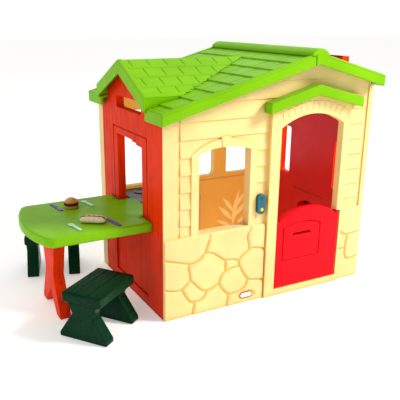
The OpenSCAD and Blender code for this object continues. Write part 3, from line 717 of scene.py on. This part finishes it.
@dataclass
class RoofSkin:
    """Tiles on the main slopes and courses on the roof over the patio."""

    site: Site
    rise: float = 0.281
    half_cap: float = 0.058
    dormer_slope: float = 0.48
    course: float = 98.0
    pitch: float = 108.0
    first_joint: float = 60.0
    joint: float = 5.5

    def __post_init__(self) -> None:
        """Reads the slopes from the CAD roof panels."""
        left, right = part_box("roof_left"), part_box("roof_right")
        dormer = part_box("dormer_roof")
        self.y0, self.y1 = left[0].y, left[1].y
        self.eave_x, self.far_x = left[0].x, right[1].x
        self.ridge_x = self.site.at(925, 0, 0).x
        self.ridge_z = right[1].z - 0.030
        self.dormer = dormer
        self.dormer_mid = (dormer[0].y + dormer[1].y) / 2
        self.dormer_half = (dormer[1].y - dormer[0].y) / 2
        self.dormer_z = dormer[1].z

    def under_dormer(self, x: float, y: float, z: float) -> bool:
        """Tells whether the roof over the patio covers a place on the main slope.

        Args:
            x, y, z: the place, in metres; x is not used.

        Returns:
            True where it is covered.
        """
        off = abs(y - self.dormer_mid)
        if off > self.dormer_half - 0.010:
            return False
        return z < self.dormer_z - off * self.dormer_slope - 0.006

    def main_slope(self, left: bool) -> None:
        """Tiles one main slope."""
        tiles = Tiling()
        lean = math.hypot(1, self.rise)
        top_x = self.ridge_x + (-self.half_cap if left else self.half_cap)
        top_z = self.ridge_z - self.half_cap * self.rise
        end_x = self.eave_x if left else self.far_x
        length = abs(end_x - top_x) * lean / MM
        width = (self.y1 - self.y0) / MM
        sign = -1 if left else 1
        down = Vector((sign / lean, 0, -self.rise / lean))
        across = TO_BACK
        origin = Vector((top_x, self.y0, top_z))

        def height(u: float, v: float) -> Rise:
            """Returns the rise of the tiles, or None under the roof over the patio."""
            spot = origin + across * (u * MM) + down * (v * MM)
            if left and self.under_dormer(spot.x, spot.y, spot.z):
                return None
            return tiles.level(u, v, width, length)

        across_lines = tiles.joint_lines(width)
        along_lines = tiles.course_lines(length)
        if left:
            across_lines = sorted(set(across_lines + even_lines(0, width, 12)))
            along_lines = sorted(set(along_lines + even_lines(0, length, 12)))
            Relief("tiles_left", GREEN, origin, across, down, across_lines,
                   along_lines, height).build()
        else:
            Relief("tiles_right", GREEN, origin, down, across, along_lines,
                   across_lines, lambda v, u: height(u, v)).build()

    def dormer_side(self, front: bool) -> None:
        """Lays the courses on one slope of the roof over the patio."""
        lean = math.hypot(1, self.dormer_slope)
        sign = -1 if front else 1
        down = Vector((0, sign / lean, -self.dormer_slope / lean))
        across = TO_RIGHT
        origin = Vector((self.dormer[0].x, self.dormer_mid, self.dormer_z))
        length = self.dormer_half * lean / MM
        width = (self.dormer[1].x - self.dormer[0].x) / MM
        course, pitch, first, joint = self.course, self.pitch, self.first_joint, self.joint

        def height(u: float, v: float) -> Rise:
            """Steps the courses down the slope.

            Args:
                u: distance from the verge.
                v: distance from the ridge.

            Returns:
                The rise in mm, or None below the main slope.
            """
            spot = origin + across * (u * MM) + down * (v * MM)
            main = self.ridge_z - abs(spot.x - self.ridge_x) * self.rise
            if spot.z < main + 0.001 and spot.x > self.eave_x + 0.004:
                return None
            side = min(u, length - v)
            if side < 34:
                return 6.0 * (0.3 + 0.7 * smooth_step(side / 10)) if side < 30 else 3.0
            row = int((v + 0.01) // course)
            part = v / course - row
            level = 2.6 + 3.0 * part
            place = (u - first - (pitch / 2) * (row % 2)) % pitch
            near = min(place, pitch - place)
            if near < joint and 0.08 < part < 0.84:
                level -= 3.6 * (1 - near / joint)
            return level

        v_lines = {0.0, length, length - 3, length - 9, length - 30, length - 34}
        for k in range(1, 5):
            v_lines |= {k * course + d for d in (-16, -15, -3, 0, 3, 8)}
        v_lines = sorted(v for v in v_lines | set(even_lines(0, length, 14)) if 0 <= v <= length)
        u_lines = {0.0, 4.0, 10.0, 30.0, 34.0, width}
        k = 0
        while first + k * pitch / 2 < width:
            mid = first + k * pitch / 2
            u_lines |= {mid + d for d in (-joint, -2.7, 0, 2.7, joint)}
            k += 1
        u_lines = sorted(u for u in u_lines | set(even_lines(0, width, 14)) if 0 <= u <= width)
        name = "courses_front" if front else "courses_back"
        if front:
            Relief(name, GREEN, origin, down, across, v_lines, u_lines,
                   lambda v, u: height(u, v)).build()
        else:
            Relief(name, GREEN, origin, across, down, u_lines, v_lines,
                   height).build()

    def build(self) -> None:
        """Builds all four slopes."""
        self.main_slope(True)
        self.main_slope(False)
        self.dormer_side(True)
        self.dormer_side(False)


@dataclass
class BadgeFace:
    """The blank white face inside the rim of the badge."""

    rim: float = 5.0
    proud: float = 0.7

    def build(self) -> None:
        """Builds the face."""
        low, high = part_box("badge_plate")
        half_w = (high.x - low.x) / 2 - self.rim * MM
        radius = (high.z - low.z) / 2 - self.rim * MM
        middle = Vector(((low.x + high.x) / 2, low.y, (low.z + high.z) / 2))
        bm = bmesh.new()
        bmesh.ops.create_circle(bm, cap_ends=True, segments=56, radius=radius)
        for vert in bm.verts:
            shift = half_w - radius
            x = vert.co.x + (shift if vert.co.x > 1e-7 else -shift if vert.co.x < -1e-7 else 0)
            vert.co = middle + Vector((x, 0.001, vert.co.y))
        face = bm.faces[:]
        grown = bmesh.ops.extrude_face_region(bm, geom=face)
        front = [v for v in grown["geom"] if isinstance(v, bmesh.types.BMVert)]
        for vert in front:
            vert.co.y = low.y - self.proud * MM
        bmesh.ops.recalc_face_normals(bm, faces=bm.faces)
        obj = add_object("badge_face", bm, WHITE)
        soften(obj, 0.5, 2, 40)
        settle(obj, "house", WHITE)


@dataclass
class LeafRelief:
    """Leaves moulded on the inner face of the rear wall, under its windows."""

    site: Site
    wall_y: float = 891.0
    rise: float = 5.0

    def blade(self, bm: Shape, foot: Plan, turn: float, length: float, width: float) -> None:
        """Adds one leaf.

        Args:
            bm: shape to add to.
            foot: X and Z of the foot of the leaf, in mm.
            turn: lean of the leaf from upright, in degrees.
            length: length of the leaf in mm.
            width: width of the leaf in mm.
        """
        rows, half = 12, 3
        made = bmesh.ops.create_grid(bm, x_segments=2 * half, y_segments=rows, size=1.0)
        lean = math.radians(turn)
        for vert in made["verts"]:
            along = (vert.co.y + 1) / 2
            side = vert.co.x
            reach = math.sin(math.pi * along ** 0.8) * width / 2 + 0.6
            bend = 0.12 * length * along * along * math.copysign(1, turn or 1)
            x = side * reach + bend
            z = along * length
            rise = self.rise * (1 - abs(side) ** 2) * min(1.0, 6 * along * (1 - along) + 0.3)
            if abs(side) < 0.1:
                rise *= 0.55
            vert.co = self.site.at(foot[0] + x * math.cos(lean) + z * math.sin(lean),
                                   self.wall_y - rise + 0.8,
                                   foot[1] + z * math.cos(lean) - x * math.sin(lean))

    def build(self) -> None:
        """Builds the leaves as one closed piece."""
        bm = bmesh.new()
        for foot, turn, length, width in (
                ((1020, 130), 4, 270, 44), ((1010, 170), -38, 170, 38), ((1035, 190), 40, 170, 38),
                ((1012, 240), -30, 140, 34), ((1036, 260), 32, 140, 34),
                ((985, 130), -58, 120, 30), ((1060, 140), 60, 120, 30)):
            self.blade(bm, foot, turn, length, width)
        bmesh.ops.solidify(bm, geom=bm.faces[:], thickness=0.002)
        bmesh.ops.recalc_face_normals(bm, faces=bm.faces)
        # The leaves get a lighter colour with a painted glow.
        obj = add_object("leaves", bm, LEAF)
        settle(obj, "house", LEAF)


@dataclass
class HotDog:
    """A long bun, split along its top, with a sausage in the split."""

    site: Site
    middle: Plan = (-290.0, 285.0)
    turn: float = -33.0

    def place(self, along: float, side: float, up: float) -> Vector:
        """Returns the spot at a place along, to the side and above the table, all in mm."""
        lean = math.radians(self.turn)
        return self.site.at(self.middle[0] + along * math.cos(lean) - side * math.sin(lean),
                            self.middle[1] + along * math.sin(lean) + side * math.cos(lean), up)

    def loaf(self, bm: Shape, half: Triple, side: float,
             up: float, floor: float, ripple: float = 0.0) -> None:
        """Adds one long rounded body.

        Args:
            bm: shape to add to.
            half: half its length, width and height in mm.
            side: its distance from the middle line, in mm.
            up: height of its middle above the table, in mm.
            floor: height below which it is flat, in mm.
            ripple: depth of the waves along its top, in mm.
        """
        made = bmesh.ops.create_uvsphere(bm, u_segments=36, v_segments=24, radius=1.0)
        for vert in made["verts"]:
            x, y, z = vert.co.z, vert.co.x, vert.co.y
            girth = max(0.0, 1 - abs(x) ** 4.0) ** 0.5
            around = math.hypot(y, z)
            scale = girth / around if around > 1e-6 else 0.0
            wave = ripple * math.sin(x * 16) * (1 if z > 0 else 0)
            high = max(floor, up + z * scale * half[2] + wave * girth)
            vert.co = self.place(x * half[0], side + y * scale * half[1] - 2.5 * x * x, high)

    def build(self) -> None:
        """Builds the bun and the sausage."""
        low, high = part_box("hot_dog_bun")
        base = low.z / MM
        tall = (high.z - low.z) / MM
        halves = [((72, 17, tall * 0.5), side * 14.0, base + tall * 0.5, base)
                  for side in (-1, 1)]
        sausage = [((70, 9.5, 12), 0.0, base + tall * 0.72, base + 4, 1.5)]
        for name, loaves, finish, node in (
                ("hot_dog_halves", halves, PALE_BUN, "hot_dog_bun"),
                ("hot_dog_filling", sausage, SAUSAGE, "hot_dog_sausage")):
            bm = bmesh.new()
            for loaf in loaves:
                self.loaf(bm, *loaf)
            bmesh.ops.remove_doubles(bm, verts=bm.verts, dist=1e-5)
            bmesh.ops.dissolve_degenerate(bm, dist=1e-5, edges=bm.edges)
            bmesh.ops.recalc_face_normals(bm, faces=bm.faces)
            settle(add_object(name, bm, finish), "hot_dog", finish, node)


@dataclass
class TableTop:
    """The patio table: a thick top with soft edges, a bowed end and a neck in the opening."""

    site: Site
    out: float = 647.0
    half_w: float = 310.0
    middle_y: float = 446.0
    bow: float = 46.0
    corner: float = 60.0
    neck_half: float = 179.0
    neck_in: float = 98.0
    top: float = 545.0
    thick: float = 57.0
    edge: float = 12.0

    def arc(self, centre: Plan, radius: float, start: float, end: float, steps: int) -> list[Plan]:
        """Draws an arc.

        Args:
            centre: its centre.
            radius: its radius.
            start, end: its ends, in degrees.
            steps: number of steps.

        Returns:
            Its points.
        """
        angles = [math.radians(start + (end - start) * k / steps) for k in range(steps + 1)]
        return [(centre[0] + radius * math.cos(a), centre[1] + radius * math.sin(a))
                for a in angles]

    def outline(self) -> list[Plan]:
        """Returns the outline of the top in X and Y, seen from above."""
        chord = self.half_w - self.corner
        radius = (chord ** 2 + self.bow ** 2) / (2 * self.bow)
        centre_x = radius - self.out
        reach = math.sqrt((radius - self.corner) ** 2 - chord ** 2)
        lean = math.degrees(math.atan2(chord, reach))
        corner_x = centre_x - reach
        low, high = self.middle_y - chord, self.middle_y + chord
        points = [(-1.0, self.middle_y - self.half_w)]
        points += self.arc((corner_x, low), self.corner, 270, 180 + lean, 10)
        points += self.arc((centre_x, self.middle_y), radius, 180 + lean, 180 - lean, 28)[1:]
        points += self.arc((corner_x, high), self.corner, 180 - lean, 90, 10)[1:]
        points += [(-1.0, self.middle_y + self.half_w)]
        for side in (1, -1):
            neck = [(-1.0, side * self.neck_half), (self.neck_in - 24, side * self.neck_half),
                    (self.neck_in, side * (self.neck_half - 29))]
            points += [(x, self.middle_y + y) for x, y in (neck if side > 0 else reversed(neck))]
        return points[::-1]

    def build(self) -> None:
        """Builds the top and the recesses of its two screws."""
        bm = bmesh.new()
        verts = [bm.verts.new(self.site.at(x, y, self.top)) for x, y in self.outline()]
        face = bm.faces.new(verts)
        bm.normal_update()
        if face.normal.z < 0:
            face.normal_flip()
        made = bmesh.ops.extrude_face_region(bm, geom=[face])
        for vert in (v for v in made["geom"] if isinstance(v, bmesh.types.BMVert)):
            vert.co.z = (self.top - self.thick) * MM
        bmesh.ops.recalc_face_normals(bm, faces=bm.faces)
        rims = [e for e in bm.edges if len(e.link_faces) == 2
                and any(abs(f.normal.z) > 0.9 for f in e.link_faces) and e.calc_face_angle(0) > 1]
        bmesh.ops.bevel(bm, geom=rims, offset=self.edge * MM, offset_type="OFFSET", segments=4,
                        profile=0.5, affect="EDGES", material=-1, clamp_overlap=False)
        obj = add_object("table_top", bm, GREEN)
        keep_flats(obj)
        settle(obj, "house", GREEN, "patio_table")
        low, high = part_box("table_screws")
        for name, y in (("near", low.y + 0.008), ("far", high.y - 0.008)):
            self.recess(name, Vector(((low.x + high.x) / 2, y, self.top * MM)))

    def recess(self, name: str, middle: Vector) -> None:
        """Adds the lip of one screw recess, and painted shade in its well.

        Args:
            name: which of the two it is.
            middle: its middle, in metres.
        """
        def height(u: float, v: float) -> Rise:
            """Returns the rise of the lip, or None outside it."""
            away = math.hypot(u - 15, v - 15)
            if away > 14.5:
                return None
            return 0.2 + 1.6 * smooth_step((away - 9.5) / 1.5) * smooth_step((14.5 - away) / 2)

        Relief("recess_" + name, GREEN, middle - Vector((0.015, 0.015, 0)),
               TO_RIGHT, TO_BACK, even_lines(0, 30, 1.2), even_lines(0, 30, 1.2),
               height, 2.0, 1.0, 1.5).build()


@dataclass
class BenchPlanks:
    """Planks moulded on the seat of one bench."""

    site: Site
    bench: str
    finish: Finish
    middle: Plan
    turn: float
    length: float = 346.0
    width: float = 229.0
    top: float = 265.0
    planks: int = 3

    def build(self) -> None:
        """Builds the planks."""
        lean = math.radians(self.turn)
        across = Vector((math.cos(lean), math.sin(lean), 0))
        along = Vector((-math.sin(lean), math.cos(lean), 0))
        origin = self.site.at(*self.middle, self.top) \
            - across * (self.length / 2 * MM) - along * (self.width / 2 * MM)
        board = self.width / self.planks

        def height(u: float, v: float) -> Rise:
            """Rounds each plank.

            Args:
                u: distance along the planks.
                v: distance across them.

            Returns:
                The rise in mm.
            """
            place = v % board
            gap = min(place, board - place) if 1 < v < self.width - 1 else 0.0
            end = min(u, self.length - u)
            corner = 1.0
            if min(v, self.width - v) < 18 and end < 18:
                reach = math.hypot(18 - end, 18 - min(v, self.width - v))
                corner = smooth_step((19 - reach) / 4)
            return 0.2 + 3.4 * smooth_step(gap / 5.5) * smooth_step(end / 7) * corner \
                + 0.25 * noise.noise(Vector((u * 0.01, v * 0.12, 1.0)))

        rows = set(even_lines(0, self.width, 6))
        for k in range(self.planks + 1):
            rows |= {k * board + d for d in (-5, -2.5, 0, 2.5, 5)}
        rows = sorted(v for v in rows if 0 <= v <= self.width)
        Relief(self.bench + "_planks", self.finish, origin, across, along,
               even_lines(0, self.length, 6), rows, height, 3.0, 0.8, 2.0, self.bench).build()


@dataclass
class ArchStones:
    """Stones that stand out in an arch over the doorway."""

    site: Site
    middle_x: float = 962.5
    spring: float = 1037.0
    half_w: float = 227.5
    rise: float = 70.0
    face_y: float = -28.0
    inner: float = 20.0
    depth: float = 58.0
    step_deg: float = 5.6

    def build(self) -> None:
        """Builds the arch."""
        radius = (self.half_w ** 2 + self.rise ** 2) / (2 * self.rise)
        centre_z = self.spring + self.rise - radius
        low_x, low_z = self.middle_x - 225, self.spring + 12

        def height(u: float, v: float) -> Rise:
            """Raises the stones of the arch.

            Args:
                u: distance from the left end.
                v: height above the lower end.

            Returns:
                The rise in mm, or None inside the doorway.
            """
            x, z = low_x + u - self.middle_x, low_z + v - centre_z
            away = math.hypot(x, z) - radius - self.inner
            if away < -6:
                return None
            if not 0 < away < self.depth:
                return -1.0
            angle = math.degrees(math.atan2(x, z)) / self.step_deg + 0.5
            gap = min(angle % 1, 1 - angle % 1) * math.radians(self.step_deg) * radius
            edge = min(away, self.depth - away)
            return -1.0 + 4.0 * smooth_step(min(gap - 1.5, edge) / 5)

        Relief("arch_stones", CREAM, self.site.at(low_x, self.face_y, low_z),
               TO_RIGHT, UPWARD, even_lines(0, 450, 3.5),
               even_lines(0, 134, 3.5), height, 5.0, 0.0, 3.0).build()


@dataclass(frozen=True)
class Studio:
    """Pale floor, bright surroundings and soft lights."""

    floor_half: float = 40.0
    key_power: float = 540.0
    fill_power: float = 45.0
    back_light: float = 1.05
    front_light: float = 0.42
    stand: Triple = (-1.7125, -3.2113, 1.636)
    turn_deg: float = 27.73
    dip_deg: float = 17.49
    roll_deg: float = 0.256
    lens: float = 53.05
    shift: Plan = (0.045, 0.005)

    def build(self) -> None:
        """Builds the floor, the world, the lights and the camera."""
        bm = bmesh.new()
        bmesh.ops.create_grid(bm, x_segments=2, y_segments=2, size=self.floor_half)
        for vert in bm.verts:
            vert.co.z -= 0.0005
        floor = add_object("studio_floor", bm, PAPER)
        self.surroundings()
        self.lamp("key", (4.4, -3.6, 4.8), 1.8, self.key_power, (1.0, 0.985, 0.95))
        self.lamp("fill", (-4.8, -2.2, 3.0), 2.8, self.fill_power, (0.97, 0.985, 1.0))
        bpy.context.scene.view_settings.view_transform = "Standard"
        self.camera()

    def surroundings(self) -> None:
        """Makes a studio that is bright behind the house and dimmer in front of it."""
        world = bpy.data.worlds.new("studio")
        bpy.context.scene.world = world
        world.use_nodes = True
        tree = world.node_tree
        sky = tree.nodes["Background"]
        sky.inputs["Color"].default_value = (1.0, 1.0, 1.0, 1.0)
        way = add_node(tree, "TexCoord").outputs["Generated"]
        axes = add_node(tree, "SeparateXYZ", Vector=way)
        ends = {"From Min": -0.25, "From Max": 0.25, "To Min": self.front_light,
                "To Max": self.back_light}
        ramp = add_node(tree, "MapRange", ends, Value=axes.outputs["Y"])
        ramp.interpolation_type = "SMOOTHSTEP"
        tree.links.new(ramp.outputs["Result"], sky.inputs["Strength"])

    def lamp(self, name: str, place: Triple, size: float, power: float,
             colour: Triple) -> None:
        """Adds a soft square light that faces the house.

        Args:
            name: its name.
            place: where it hangs, in metres.
            size: its side in metres.
            power: its power in watts.
            colour: its linear colour.
        """
        data = bpy.data.lights.new(name, "AREA")
        data.size = size
        data.energy = power
        data.color = colour
        obj = bpy.data.objects.new(name, data)
        obj.location = place
        toward = Vector((0.2, 0, 0.6)) - Vector(place)
        obj.rotation_euler = toward.to_track_quat("-Z", "Y").to_euler()
        bpy.context.collection.objects.link(obj)

    def camera(self) -> None:
        """Adds the camera."""
        turn, dip, roll = (math.radians(a) for a in (self.turn_deg, self.dip_deg, self.roll_deg))
        level = math.cos(dip)
        ahead = Vector((math.sin(turn) * level, math.cos(turn) * level, -math.sin(dip)))
        right = Vector((math.cos(turn), -math.sin(turn), 0))
        up = right.cross(ahead)
        data = bpy.data.cameras.new("camera")
        data.lens = self.lens
        data.sensor_width = 36
        data.shift_x, data.shift_y = self.shift
        data.dof.use_dof = False
        obj = bpy.data.objects.new("camera", data)
        pose = Matrix((right, up, -ahead)).transposed().to_4x4() @ Matrix.Rotation(roll, 4, "Z")
        obj.matrix_world = Matrix.Translation(Vector(self.stand)) @ pose
        bpy.context.collection.objects.link(obj)
        bpy.context.scene.camera = obj


class Playhouse:
    """All the moulded pieces of the toy."""

    HOUSE = [
        Moulding("front_wall", CREAM, 1.2, 2, merge_flats=False, shaded_lining=SHADED_CREAM_INSIDE),
        Moulding("rear_wall", CREAM, 3.0, shaded_lining=SHADED_CREAM_INSIDE, shaded_lining_way=(0, -1, 0)),
        Moulding("patio_wall", ORANGE, 2.5),
        # Its inner face is the orange painted as in shade.
        Moulding("right_wall", ORANGE, 4.0, shaded_lining=SHADED_ORANGE_INSIDE,
                 shaded_lining_way=(-1, 0, 0)),
        Moulding("chimney", ORANGE, 5.0),
        Moulding("roof_left", GREEN, 9.0, 4),
        Moulding("roof_right", GREEN, 9.0, 4),
        Moulding("dormer_roof", GREEN, 4.0, 4),
        Moulding("door_hood", GREEN, 6.0, 4),
        Moulding("badge_plate", RIM, 0.8, 2),
        Moulding("bell_case", TEAL, 0.7, 2),
        Moulding("table_leg", ORANGE, 8.0),
        Moulding("kitchen_counter", CREAM, 3.0),
        Moulding("stove_top", BLACK, 1.5, 2),
    ]
    LOOSE = [
        ("half_door", "half_door", RED, 4.0),
        ("bell_button", "bell_button", YELLOW, 0.8),
        ("faucet", "faucet", STEEL_LOOK, 2.0),
        ("burger_bun", "burger", BUN, 3.0),
        ("burger_filling", "burger", FILLING, 3.0),
        ("near_knife", "near_knife", PURPLE, 1.2),
        ("far_knife", "far_knife", PURPLE, 1.2),
        ("near_fork", "near_fork", MINT, 1.2),
        ("far_fork", "far_fork", MINT, 1.2),
    ]
    CARRIED = {
        "hinge_pins": STEEL, "hood_screws": STEEL, "wall_screws": STEEL, "bell_screws": STEEL,
        "table_screws": STEEL, "bell_back_plate": TEAL, "bell_switch": RUBBER, "bell_board": BOARD,
        "bell_speaker": BLACK, "bell_batteries": STEEL,
    }

    def build(self) -> None:
        """Builds every piece and dresses the CAD nodes that stay in view."""
        for piece in self.HOUSE:
            piece.build()
        for node, body, finish, edge in self.LOOSE:
            Moulding(node, finish, edge, body=body).build()
        for bench, finish in (("near_bench", NEAR_GREEN), ("far_bench", FAR_GREEN)):
            Moulding(bench + "_seat", finish, 8.0, body=bench).build()
            for side in ("left", "right"):
                Moulding(f"{bench}_{side}_frame", finish, 7.0, body=bench).build()
        for node, finish in self.CARRIED.items():
            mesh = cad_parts[node].data
            mesh.materials.clear()
            mesh.materials.append(finish.material())


def main() -> None:
    """Builds the whole scene."""
    logging.basicConfig(level=logging.INFO)
    site = Site()
    Playhouse().build()
    Stonework(site).build()
    RoofSkin(site).build()
    BadgeFace().build()
    LeafRelief(site).build()
    HotDog(site).build()
    TableTop(site).build()
    BenchPlanks(site, "near_bench", NEAR_GREEN, (-337, 99), 37).build()
    BenchPlanks(site, "far_bench", FAR_GREEN, (-331, 1012), -17.5).build()
    ArchStones(site).build()
    Studio().build()
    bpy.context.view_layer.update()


if __name__ == "__main__":
    main()
